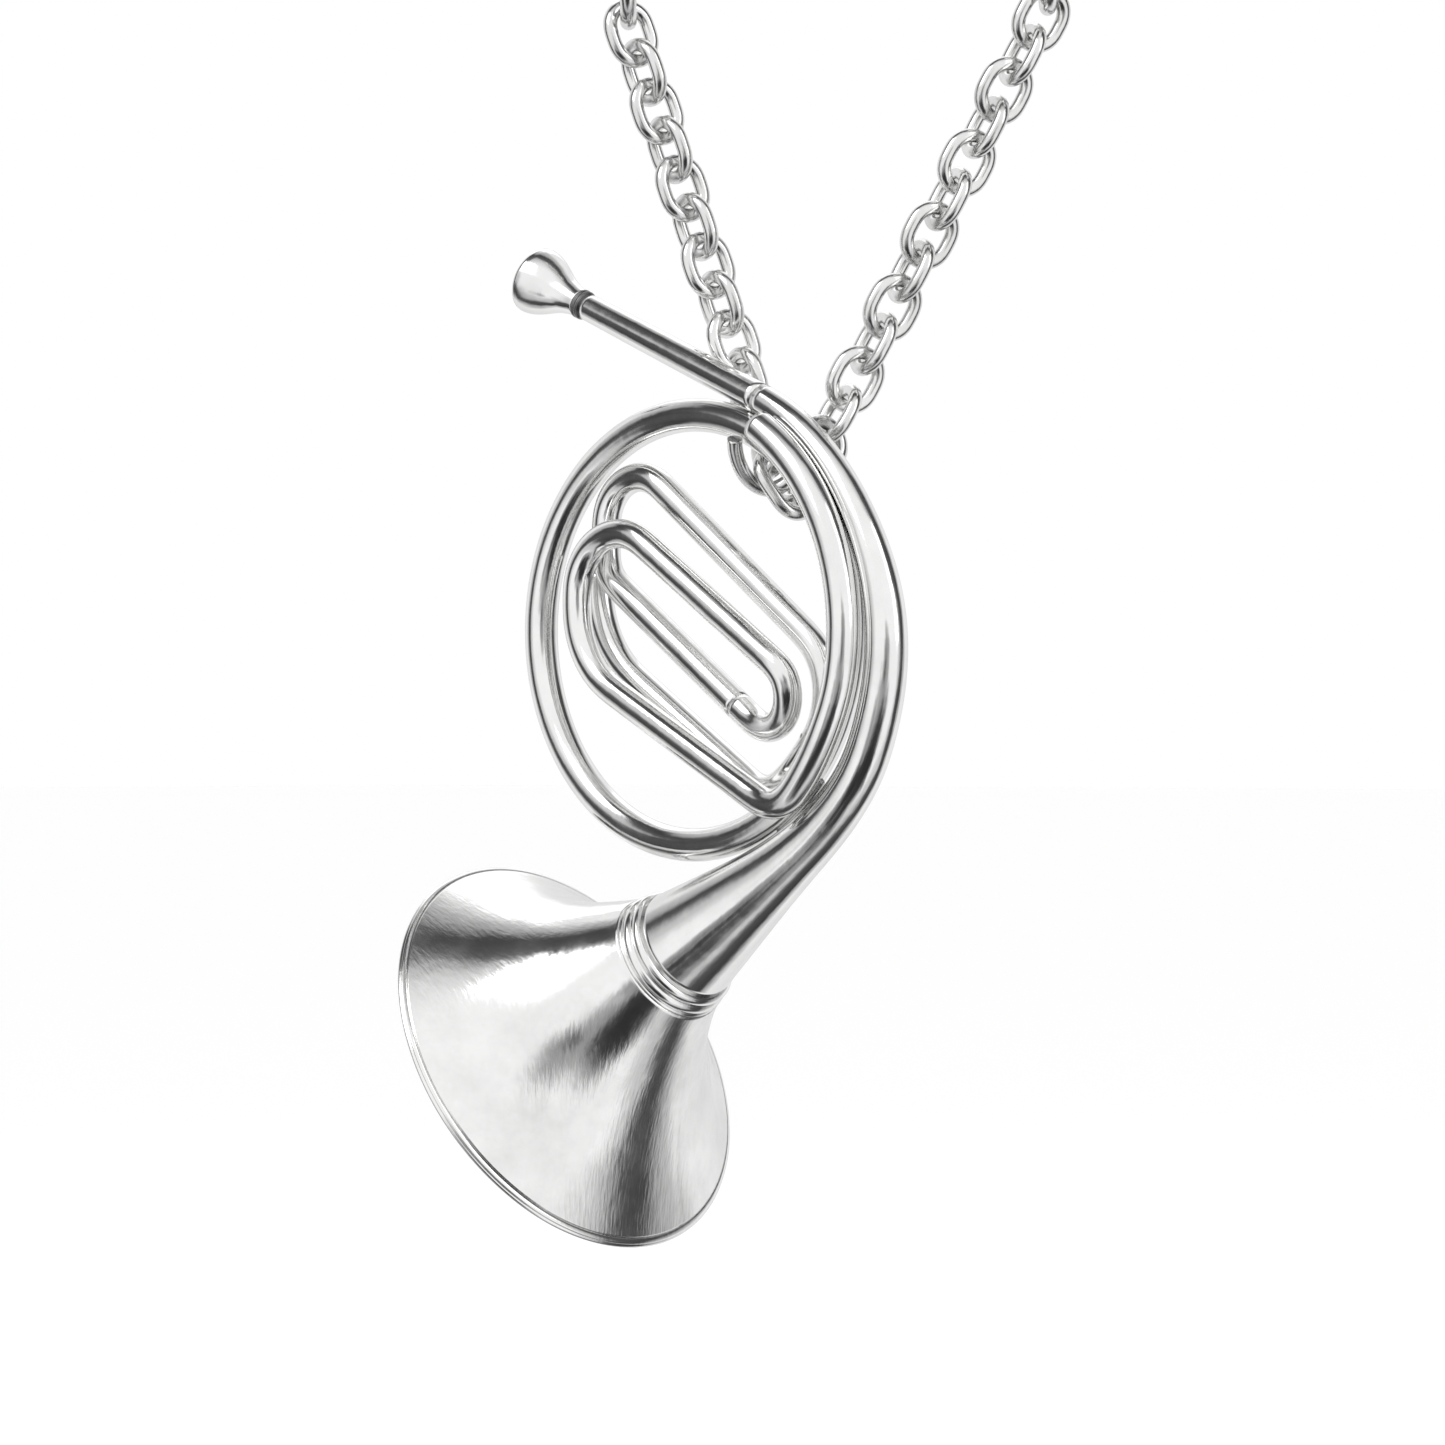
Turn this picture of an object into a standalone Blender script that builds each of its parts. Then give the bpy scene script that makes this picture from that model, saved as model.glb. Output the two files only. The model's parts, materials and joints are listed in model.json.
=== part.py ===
"""Small silver french horn pendant on a belcher chain: one closed solid per physical piece.

Lengths are in millimetres here and scaled to metres at the end. The horn lies in the XZ plane.
Working origin: centre of the main loop. Final origin: centre of the left end ring.
"""
import bpy
import math
import numpy as np
from mathutils import Vector

MM = 0.001

# ---- driving dimensions, mm ----
LOOP_R = 12.9            # main loop, mid radius
LOOP_TUBE = 1.0          # main loop, tube radius
GAP = 0.03               # air between neighbouring pieces
WIRE = 0.87              # crook wire radius inside the loop
FRONT_TUBE = 1.0         # crook radius where it follows the loop
FRONT_R = 14.0           # radius of the front crook's arc about the loop centre
FRONT_Y = -1.80          # front crook sits in the groove before loop and tail
INNER_Y = -1.99          # front crook plane inside the loop
MID_Y = -0.10            # middle crook plane
REAR_Y = 0.95            # rear crook plane
LINK_WIRE = 0.43         # chain wire radius
LINK_L, LINK_W = 4.32, 3.60   # chain link outside
CENTRE_L = 5.00          # the link that carries the ring is a little longer
PITCH = 2.45
RING_WIRE = 0.46         # jump ring wire radius
N_LEFT, N_RIGHT = 12, 14

SIDE = np.array([0.7193, 0.6947, 0.0])     # sideways direction of the chain's V
FWD = np.array([0.6947, -0.7193, 0.0])     # towards the horn's front
UP = np.array([0.0, 0.0, 1.0])


def cam(r, u, f):
    """Point from sideways, up and forward lengths."""
    return r * SIDE + u * UP + f * FWD


def unit(v):
    v = np.asarray(v, float)
    return v / np.linalg.norm(v)


LEFT_END = None
for ob in list(bpy.data.objects):
    bpy.data.objects.remove(ob, do_unlink=True)


# ---- materials ----
def material(name, colour, rough):
    m = bpy.data.materials.new(name)
    m.use_nodes = True
    b = m.node_tree.nodes["Principled BSDF"]
    b.inputs["Base Color"].default_value = (*colour, 1.0)
    b.inputs["Metallic"].default_value = 1.0
    b.inputs["Roughness"].default_value = rough
    return m


SILVER = material("polished_silver", (0.86, 0.86, 0.85), 0.16)
CHAIN = material("chain_silver", (0.80, 0.80, 0.79), 0.22)
SHADE = material("worn_silver", (0.74, 0.74, 0.73), 0.3)


# ---- paths ----
def fillet(points, radii, step=14.0):
    """Polyline in XZ with round corners; radii[i] belongs to points[i + 1]."""
    out = [np.array(points[0], float)]
    for i in range(1, len(points) - 1):
        p, a, b = (np.array(q, float) for q in (points[i], points[i - 1], points[i + 1]))
        da, db = unit(a - p), unit(b - p)
        half = math.acos(max(-1, min(1, float(da @ db)))) / 2
        r = radii[i - 1]
        if r <= 0 or half > 1.56:
            out.append(p)
            continue
        t = r / math.tan(half)
        c = p + unit(da + db) * (r / math.sin(half))
        v0, v1 = p + da * t - c, p + db * t - c
        ang = math.pi - 2 * half
        n = max(2, int(round(math.degrees(ang) / step)))
        for k in range(n + 1):
            s = k / n
            w = math.sin((1 - s) * ang) * v0 + math.sin(s * ang) * v1
            out.append(c + w / math.sin(ang))
    out.append(np.array(points[-1], float))
    return out


def arc(cx, cz, r, a0, a1, n):
    return [np.array([cx + r * math.cos(math.radians(a0 + (a1 - a0) * k / n)),
                      cz + r * math.sin(math.radians(a0 + (a1 - a0) * k / n))]) for k in range(n + 1)]


def lift(path, stations):
    """XZ polyline to XYZ points; stations are (length along, Y) pairs."""
    p = np.array(path)
    s = np.concatenate([[0], np.cumsum(np.linalg.norm(np.diff(p, axis=0), axis=1))])
    xs = np.linspace(0, 1, 9)
    ks, ys = [], []
    for (s0, y0), (s1, y1) in zip(stations[:-1], stations[1:]):
        for x in xs:
            ks.append(s0 + (s1 - s0) * x)
            ys.append(y0 + (y1 - y0) * (3 * x * x - 2 * x ** 3))
    y = np.interp(s, ks, ys)
    return np.stack([p[:, 0], y, p[:, 1]], axis=1), s


def frames(pts, closed=False):
    """Unit tangent and two side vectors without twist."""
    n = len(pts)
    tan = []
    for i in range(n):
        a = pts[(i - 1) % n] if closed or i > 0 else pts[i]
        b = pts[(i + 1) % n] if closed or i < n - 1 else pts[i]
        tan.append(unit(b - a))
    ref = np.array([0.0, 1.0, 0.0])
    if abs(tan[0] @ ref) > 0.9:
        ref = np.array([0.0, 0.0, 1.0])
    side = unit(ref - (ref @ tan[0]) * tan[0])
    out = []
    for t in tan:
        side = unit(side - (side @ t) * t)
        out.append((t, side, np.cross(t, side)))
    return out


def mesh_object(name, verts, faces, mat, smooth=True):
    me = bpy.data.meshes.new(name)
    me.from_pydata([tuple(float(c) for c in v) for v in verts], [], faces)
    me.validate()
    me.update()
    import bmesh
    bm = bmesh.new()
    bm.from_mesh(me)
    bmesh.ops.recalc_face_normals(bm, faces=bm.faces)
    bm.to_mesh(me)
    bm.free()
    ob = bpy.data.objects.new(name, me)
    bpy.context.collection.objects.link(ob)
    me.materials.append(mat)
    for poly in me.polygons:
        poly.use_smooth = smooth
    return ob


def tube(name, pts, radii, sides, mat, closed=False):
    """Solid round bar along a path; closed paths make a torus-like ring."""
    pts = [np.asarray(p, float) for p in pts]
    n = len(pts)
    if np.isscalar(radii):
        radii = [radii] * n
    fr = frames(pts, closed)
    if closed:
        twist = 0.0
        t0, s0, b0 = fr[0]
        s_end = unit(fr[-1][1] - (fr[-1][1] @ t0) * t0)
        twist = math.atan2(float(s_end @ b0), float(s_end @ s0))
    verts, faces = [], []
    for i in range(n):
        t, s, b = fr[i]
        off = -twist * i / n if closed else 0.0
        for k in range(sides):
            a = 2 * math.pi * k / sides + off
            verts.append(pts[i] + radii[i] * (math.cos(a) * s + math.sin(a) * b))
    m = n if closed else n - 1
    for i in range(m):
        j = (i + 1) % n
        for k in range(sides):
            l = (k + 1) % sides
            faces.append((i * sides + k, i * sides + l, j * sides + l, j * sides + k))
    if not closed:
        faces.append(tuple(range(sides))[::-1])
        faces.append(tuple((n - 1) * sides + k for k in range(sides)))
    return mesh_object(name, verts, faces, mat)


def revolve(name, centres, normals, radii, sides, mat):
    """Closed shell of rings: the ring list runs out along the outside and back along the inside.

    A radius of 0 closes an end in a point.
    """
    verts, faces, rings = [], [], []
    for c, nrm, r in zip(centres, normals, radii):
        nrm = unit(nrm)
        a = unit(np.array([0.0, 1.0, 0.0]) - nrm[1] * nrm)
        b = np.cross(nrm, a)
        if r <= 0:
            rings.append([len(verts)])
            verts.append(np.asarray(c, float))
            continue
        ids = []
        for k in range(sides):
            t = 2 * math.pi * k / sides
            ids.append(len(verts))
            verts.append(np.asarray(c, float) + r * (math.cos(t) * a + math.sin(t) * b))
        rings.append(ids)
    m = len(rings)
    pairs = [(i, i + 1) for i in range(m - 1)]
    if len(rings[0]) > 1 and len(rings[-1]) > 1:
        pairs.append((m - 1, 0))
    for i, j in pairs:
        p, q = rings[i], rings[j]
        for k in range(sides):
            l = (k + 1) % sides
            if len(p) == 1:
                faces.append((p[0], q[l], q[k]))
            elif len(q) == 1:
                faces.append((p[k], p[l], q[0]))
            else:
                faces.append((p[k], p[l], q[l], q[k]))
    return mesh_object(name, verts, faces, mat)


# ---- main loop ----
loop_pts = [(LOOP_R * math.cos(2 * math.pi * k / 64), 0.0, LOOP_R * math.sin(2 * math.pi * k / 64)) for k in range(64)]
tube("main_loop", loop_pts, LOOP_TUBE, 10, SILVER, closed=True)

# ---- leadpipe: straight, tangent to the top of the loop ----
TOP_R = 0.93
TAN_R = LOOP_R + LOOP_TUBE + TOP_R + GAP
LP_START = np.array([-9.09, 0.0, 19.62])
start_len = math.hypot(LP_START[0], LP_START[2])
tan_ang = math.atan2(LP_START[2], LP_START[0]) - math.acos(TAN_R / start_len)
TAN_PT = np.array([TAN_R * math.cos(tan_ang), 0.0, TAN_R * math.sin(tan_ang)])
LP_DIR = unit(TAN_PT - LP_START)
tube("leadpipe", [LP_START + LP_DIR * 0.02, LP_START + LP_DIR * 5.0, TAN_PT - LP_DIR * 0.02],
     [0.81, 0.86, TOP_R], 14, SILVER)

# ---- mouthpiece and its collar ----
def along(s):
    return LP_START - LP_DIR * s


prof = [(0.53, 0.84), (1.3, 0.98), (2.1, 1.22), (2.9, 1.58), (3.6, 1.90), (4.1, 2.05), (4.4, 2.07),
        (4.55, 1.97), (4.55, 1.62), (4.2, 1.45), (3.7, 1.05), (3.3, 0.45), (2.4, 0.3), (2.4, 0.0)]
prof = [(0.53, 0.0)] + prof
revolve("mouthpiece", [along(s) for s, _ in prof], [LP_DIR] * len(prof), [r for _, r in prof], 24, SILVER)
prof = [(0.01, 0.0), (0.01, 0.86), (0.10, 0.93), (0.40, 0.93), (0.50, 0.86), (0.50, 0.0)]
revolve("mouthpiece_collar", [along(s) for s, _ in prof], [LP_DIR] * len(prof), [r for _, r in prof], 16, SHADE)

# ---- bell tail: solid bend that widens into the bell, bored from the ferrule end ----
TAIL_DEG = [-56, -48, -40, -31, -22, -12, -2, 8, 18, 28, 38, 48, 58, 68.3]
TAIL_RAD = [15.85, 15.90, 16.05, 16.22, 16.08, 16.03, 15.92, 15.70, 15.38, 15.12, 14.98, 14.93, 14.91, TAN_R]
TAIL_TUBE = [1.70, 1.56, 1.46, 1.39, 1.36, 1.33, 1.30, 1.23, 1.13, 1.05, 0.99, 0.95, 0.94, TOP_R]
tail = [(TAN_PT[0], TAN_PT[2], TOP_R)]
for deg in list(range(63, -10, -5)) + [-14, -21, -28, -35, -42, -49, -56]:
    rad = float(np.interp(deg, TAIL_DEG, TAIL_RAD))
    tail.append((rad * math.cos(math.radians(deg)), rad * math.sin(math.radians(deg)),
                 float(np.interp(deg, TAIL_DEG, TAIL_TUBE))))
tail += [(7.05, -14.37, 1.93), (5.4, -15.38, 2.24), (3.59, -16.45, 2.62), (1.5, -17.68, 3.06), (-0.66, -18.96, 3.53)]
t_pts = [np.array([x, 0.0, z]) for x, z, _ in tail]
t_rad = [r for _, _, r in tail]
t_dir = [f[0] for f in frames(t_pts)]
BELL_N = unit([-0.884, 0.0, -0.468])
t_dir[-1] = BELL_N
t_dir[0] = LP_DIR
t_pts[0] = t_pts[0] + LP_DIR * 0.02
centres, normals, radii = [t_pts[0]], [t_dir[0]], [0.0]
for p, d, r in zip(t_pts, t_dir, t_rad):
    centres.append(p), normals.append(d), radii.append(r)
for i in range(len(t_pts) - 1, len(t_pts) - 6, -1):
    centres.append(t_pts[i]), normals.append(t_dir[i]), radii.append(t_rad[i] * (0.80 - 0.05 * (len(t_pts) - 1 - i)))
centres.append(t_pts[-5]), normals.append(t_dir[-5]), radii.append(0.0)
revolve("bell_tail", centres, normals, radii, 16, SILVER)

# ---- throat ferrule: three turned lines with beads between ----
L3 = t_pts[-1]
L1 = np.array([-1.92, 0.0, -19.68])
span = float((L1 - L3) @ BELL_N)
fe_out = [(0.02, 3.52), (0.10, 3.72), (0.34, 3.84), (0.58, 3.74), (0.66, 3.68), (0.74, 3.82), (1.0, 4.02), (1.26, 3.96),
          (1.36, 3.98), (span - 0.02, 4.06)]
fe_in = [(span - 0.02, 3.40), (0.02, 2.86)]
ring = fe_out + fe_in
revolve("throat_ferrule", [L3 + (L1 - L3) * (s / span) for s, _ in ring], [BELL_N] * len(ring), [r for _, r in ring], 28, SILVER)

# ---- bell flare: thin open shell, its centres droop a little towards the rim ----
BELL_LEN = 10.74
DROOP_DIR = unit([0.468, 0.0, -0.884])
RIM_R = 12.78
flare = [(0.02, 4.07), (1.2, 4.55), (2.6, 5.25), (4.0, 6.05), (5.3, 6.95), (6.5, 7.95), (7.6, 9.0), (8.6, 10.1),
         (9.4, 11.1), (10.0, 11.9), (10.42, 12.5)]


def bell_c(s):
    q = s / BELL_LEN
    return L1 + BELL_N * s + DROOP_DIR * (1.2 * (q * q * (1.6 - 0.6 * q)))


inner = []
for i in range(len(flare) - 1, -1, -1):
    s, r = flare[i]
    a, b = flare[max(0, i - 1)], flare[min(len(flare) - 1, i + 1)]
    slope = (b[1] - a[1]) / (b[0] - a[0])
    wall = 0.62 + 0.06 * (1 - i / (len(flare) - 1))
    nrm = math.hypot(1, slope)
    inner.append((max(0.02, s + wall * slope / nrm * 0.55), r - wall / nrm * 0.95 - wall * slope / nrm * slope * 0.42))
ring = flare + inner
revolve("bell_flare", [bell_c(s) for s, _ in ring], [BELL_N] * len(ring), [r for _, r in ring], 36, SILVER)

# ---- rolled rim with a double line ----
s0 = 10.45
bead = [(s0, 12.56), (s0 + 0.10, 12.78), (s0 + 0.32, 12.86), (s0 + 0.52, 12.72), (s0 + 0.56, 12.4), (s0 + 0.40, 12.05),
        (s0 + 0.28, 12.03)]
revolve("bell_rim_bead", [bell_c(s) for s, _ in bead], [BELL_N] * len(bead), [r for _, r in bead], 36, SILVER)


# ---- crooks ----
front2 = arc(0, 0, FRONT_R, 60, -38.5, 16)
a2 = np.array([4.91, -10.15])
a2d = unit([-9.01, 5.72])
a1 = np.array([9.08, -2.56])
a1d = unit([-11.67, 7.95])
x_left = -7.89
corner_low = a2 + a2d * ((x_left - a2[0]) / a2d[0])
corner_top = a1 + a1d * ((x_left - a1[0]) / a1d[0])
b2 = np.array([4.77, -5.24])
b2d = unit([-10.43, 7.47])
X_HAIR = 9.0
h_top = a1 + a1d * ((X_HAIR - a1[0]) / a1d[0])
h_low = b2 + b2d * ((X_HAIR - b2[0]) / b2d[0])
bend_c = np.array([8.37, -8.04])
bend = arc(bend_c[0], bend_c[1], 2.4, -43, -122, 7)
split = b2 + b2d * 1.2
rest = fillet([tuple(bend[-1]), tuple(corner_low), tuple(corner_top), tuple(h_top), tuple(h_low), tuple(split)],
              [5.6, 3.54, 1.48, 2.5])
path = front2 + bend[:-1] + rest
pts, s = lift(path, [(0, FRONT_Y), (17.5, FRONT_Y), (22.5, INNER_Y), (67.5, INNER_Y), (77.5, MID_Y), (200, MID_Y)])
s_tot = s[-1]
rad = np.interp(s, [0, 24, 31, 300], [FRONT_TUBE, 0.97, WIRE, WIRE])
tube("crook_front", pts, list(rad), 10, SILVER)

x_mid = -7.28
b1 = np.array([8.26, -0.08])
b1d = unit([-11.83, 9.48])
m_low = b2 + b2d * ((x_mid - b2[0]) / b2d[0])
m_top = b1 + b1d * ((x_mid - b1[0]) / b1d[0])
d2 = unit(split - (b2 + b2d * 0.0))
path = fillet([tuple(split + b2d * 0.04), tuple(m_low), tuple(m_top), tuple(np.array([8.43, -0.22]))], [2.1, 2.88])
right = arc(5.62, -3.73, 4.5, 44, -30, 6)
path = path + right
pts, s = lift(path, [(0, MID_Y), (s[-1] * 0 + 27.0, MID_Y), (41.0, REAR_Y), (200, REAR_Y)])
tube("crook_middle", pts, WIRE, 10, SILVER)

c0 = np.array([3.77, -9.18])
cd = unit([-10.01, 6.54])
x_c = -8.95
c_corner = c0 + cd * ((x_c - c0[0]) / cd[0])
heading = unit([math.sin(math.radians(-30)), -math.cos(math.radians(-30))])
path = [right[-1] + heading * 0.05, right[-1] + heading * 0.35] + arc(0, 0, 11.22, -40, -52, 2)
path += arc(5.14, -7.20, 2.4, -60, -120, 5)
path += fillet([tuple(path[-1]), tuple(c_corner), (x_c, 3.5)], [6.6])[1:]
pts, s = lift(path, [(0, REAR_Y), (200, REAR_Y)])
tube("crook_rear", pts, WIRE, 10, SILVER)

# ---- jump ring: hand-closed round wire, open at the cut ----
RING = [(4.12, 14.0, 5.85), (3.43, 13.51, 5.41), (2.73, 12.55, 4.91), (2.44, 11.34, 4.31), (2.62, 10.1, 3.58),
        (3.2, 9.04, 2.94), (4.14, 8.42, 2.59), (5.12, 8.52, 2.56), (5.95, 9.21, 2.75), (6.49, 10.31, 3.07),
        (6.65, 11.63, 3.46), (6.47, 12.95, 3.87), (6.01, 14.06, 4.31), (5.35, 14.73, 4.85), (4.72, 14.74, 5.38),
        (4.27, 14.32, 5.88)]


def spline(ctrl, per):
    c = [np.array(cam(*p)) for p in ctrl]
    c = [2 * c[0] - c[1]] + c + [2 * c[-1] - c[-2]]
    out = []
    for i in range(1, len(c) - 2):
        p0, p1, p2, p3 = c[i - 1:i + 3]
        for k in range(per):
            t = k / per
            out.append(0.5 * (2 * p1 + (p2 - p0) * t + (2 * p0 - 5 * p1 + 4 * p2 - p3) * t * t
                              + (3 * p1 - p0 - 3 * p2 + p3) * t ** 3))
    out.append(c[-2])
    return out


tube("jump_ring", spline(RING, 3), RING_WIRE, 10, CHAIN)


# ---- chain ----
def link(name, centre, axis, face, length, width, wire, seg=20, sides=6, mat=CHAIN):
    """Oval link: half circles joined by short straights."""
    a = unit(axis)
    n = unit(face - (face @ a) * a)
    w = np.cross(n, a)
    rc = width / 2 - wire
    half = length / 2 - wire - rc
    pts = []
    for k in range(seg):
        t = 2 * math.pi * k / seg + math.pi / seg
        shift = half if math.sin(t) > 0 else -half
        pts.append(centre + w * rc * math.cos(t) + a * (rc * math.sin(t) + shift))
    ob = tube(name, pts, wire, sides, mat, closed=True)
    return ob


def turned(axis, deg):
    """Face direction: forward, turned about the link's own axis."""
    a = unit(axis)
    f = unit(FWD - (FWD @ a) * a)
    b = np.cross(a, f)
    return f * math.cos(math.radians(deg)) + b * math.sin(math.radians(deg))


C0 = cam(5.397, 8.712, 2.473)                      # the link that carries the ring
C_AXIS = unit(cam(-0.597, 0.891, -0.053))
d_left = [unit(cam(-0.226, 0.949, -0.810)), unit(cam(-0.415, 0.949, -0.614)), unit(cam(-0.300, 0.949, -0.200)),
          unit(cam(-0.316, 0.949, -0.030))]
d_right = [unit(cam(0.487, 0.886, -0.558)), unit(cam(0.398, 0.886, -0.624)), unit(cam(0.458, 0.886, -0.300)),
           unit(cam(0.457, 0.889, -0.050))]
link("centre_link", C0, C_AXIS, turned(C_AXIS, 50.3), CENTRE_L, LINK_W, LINK_WIRE, seg=24)
REACH = CENTRE_L / 2 - 3 * LINK_WIRE - 0.03


def strand(start, dirs, count):
    pos, out = start + dirs[0] * (LINK_L / 2 - LINK_WIRE), []
    for k in range(count):
        d = dirs[min(k, len(dirs) - 1)]
        out.append((pos, d))
        pos = pos + (d + dirs[min(k + 1, len(dirs) - 1)]) / 2 * PITCH
    return out


LEFT = strand(C0 + C_AXIS * REACH + cam(0.1365, 0, -0.071), d_left, N_LEFT)
RIGHT = strand(C0 - C_AXIS * REACH + cam(-0.0975, 0, -0.146), d_right, N_RIGHT)
for k, (p, d) in enumerate(LEFT):
    link(f"left_link_{k + 1:02d}", p, d, turned(d, 126.4 if k % 2 == 0 else 36.4), LINK_L, LINK_W, LINK_WIRE)
for k, (p, d) in enumerate(RIGHT):
    link(f"right_link_{k + 1:02d}", p, d, turned(d, -62.3 if k % 2 == 0 else 27.7), LINK_L, LINK_W, LINK_WIRE)

END_R, END_WIRE = 2.3, 0.5          # end rings, mid radius and wire
OUT = LINK_L / 2 - 2 * LINK_WIRE - END_WIRE - 0.06
LE = LEFT[-1][0] + LEFT[-1][1] * OUT + UP * END_R
RE = RIGHT[-1][0] + RIGHT[-1][1] * OUT + UP * END_R
n = unit(RE - LE)                    # the end rings lie square to the line that the strands swing about
w = unit(np.cross(n, UP))
v = np.cross(w, n)
for name, c in (("left_end_ring", LE), ("right_end_ring", RE)):
    pts = [c + END_R * (math.cos(2 * math.pi * k / 24) * w + math.sin(2 * math.pi * k / 24) * v) for k in range(24)]
    tube(name, pts, END_WIRE, 8, CHAIN, closed=True)

# ---- origin to the left end ring, millimetres to metres, origins on the joints ----
ORIGIN = LE
PIVOT_SWING = (LE + RE) / 2
RING_PIVOT = cam(5.12, 8.52, 2.56)
RING_AXIS = unit(cam(1.83, 0.80, 0.16))

BUNDLE = np.array([14.0 * math.cos(math.radians(60)), -0.6, 14.0 * math.sin(math.radians(60))])
own = {"jump_ring": RING_PIVOT, "centre_link": PIVOT_SWING, "left_end_ring": LE, "right_end_ring": RE}
for k, (p, d) in enumerate(LEFT):
    own[f"left_link_{k + 1:02d}"] = p
for k, (p, d) in enumerate(RIGHT):
    own[f"right_link_{k + 1:02d}"] = p
for ob in bpy.data.objects:
    o = own.get(ob.name, BUNDLE)
    for v in ob.data.vertices:
        v.co = Vector((np.array(v.co) - o) * MM)
    ob.location = Vector((o - ORIGIN) * MM)
    ob.data.update()
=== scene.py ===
"""Silver french horn pendant: high-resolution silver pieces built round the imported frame.

Lengths are millimetres until MM scales them. The horn's loop lies in the XZ plane, and its centre is
read from the frame, so every piece lands on the solid that it stands for.
"""
import json
import math

import bpy
import numpy as np
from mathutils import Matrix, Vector


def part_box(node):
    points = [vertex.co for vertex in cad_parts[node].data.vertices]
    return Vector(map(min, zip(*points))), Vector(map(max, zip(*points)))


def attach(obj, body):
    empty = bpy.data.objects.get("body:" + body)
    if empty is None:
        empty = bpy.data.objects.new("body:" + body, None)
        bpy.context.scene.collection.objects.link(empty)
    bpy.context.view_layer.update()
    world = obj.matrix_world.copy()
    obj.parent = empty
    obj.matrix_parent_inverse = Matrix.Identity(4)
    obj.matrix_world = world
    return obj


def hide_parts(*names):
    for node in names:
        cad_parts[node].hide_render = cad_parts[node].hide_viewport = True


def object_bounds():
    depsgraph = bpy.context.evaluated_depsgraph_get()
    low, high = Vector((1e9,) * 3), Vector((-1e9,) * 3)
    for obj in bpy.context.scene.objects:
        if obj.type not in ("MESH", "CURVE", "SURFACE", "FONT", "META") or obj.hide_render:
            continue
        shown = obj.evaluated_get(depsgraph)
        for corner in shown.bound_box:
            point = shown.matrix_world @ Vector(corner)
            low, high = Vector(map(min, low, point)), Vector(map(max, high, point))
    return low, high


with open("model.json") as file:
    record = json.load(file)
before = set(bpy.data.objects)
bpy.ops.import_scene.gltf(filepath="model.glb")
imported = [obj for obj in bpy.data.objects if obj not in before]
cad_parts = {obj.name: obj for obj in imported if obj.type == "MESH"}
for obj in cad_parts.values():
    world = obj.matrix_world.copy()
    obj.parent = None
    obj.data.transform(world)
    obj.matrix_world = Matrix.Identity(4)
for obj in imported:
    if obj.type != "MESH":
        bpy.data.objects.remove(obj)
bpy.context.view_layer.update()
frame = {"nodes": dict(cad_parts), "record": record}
MM = 0.001


def centre_of(node):
    """Middle of a solid's box in mm."""
    lo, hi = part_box(node)
    return (np.array(lo) + np.array(hi)) / 2 / MM


LOOP_C = centre_of("main_loop")                 # the loop's centre in the row frame, mm

# ---- driving dimensions, mm ----
LOOP_R, LOOP_TUBE = 12.9, 1.0
WIRE, FRONT_TUBE, FRONT_R = 0.87, 1.0, 14.0
FRONT_Y, INNER_Y, MID_Y, REAR_Y = -1.80, -1.99, -0.10, 0.95
LINK_WIRE, RING_WIRE = 0.43, 0.46
LINK_LEN, CENTRE_LEN, LINK_WIDTH = 4.32, 5.00, 3.60   # outside sizes of the links
END_R, END_WIRE = 2.3, 0.5
TOP_R = 0.93
SIDE = np.array([0.7193, 0.6947, 0.0])
FWD = np.array([0.6947, -0.7193, 0.0])
UP = np.array([0.0, 0.0, 1.0])


def unit(v):
    """The vector at length one."""
    v = np.asarray(v, float)
    return v / np.linalg.norm(v)


def cam(r, u, f):
    """Point from sideways, up and forward lengths, from the loop's centre."""
    return r * SIDE + u * UP + f * FWD


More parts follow.
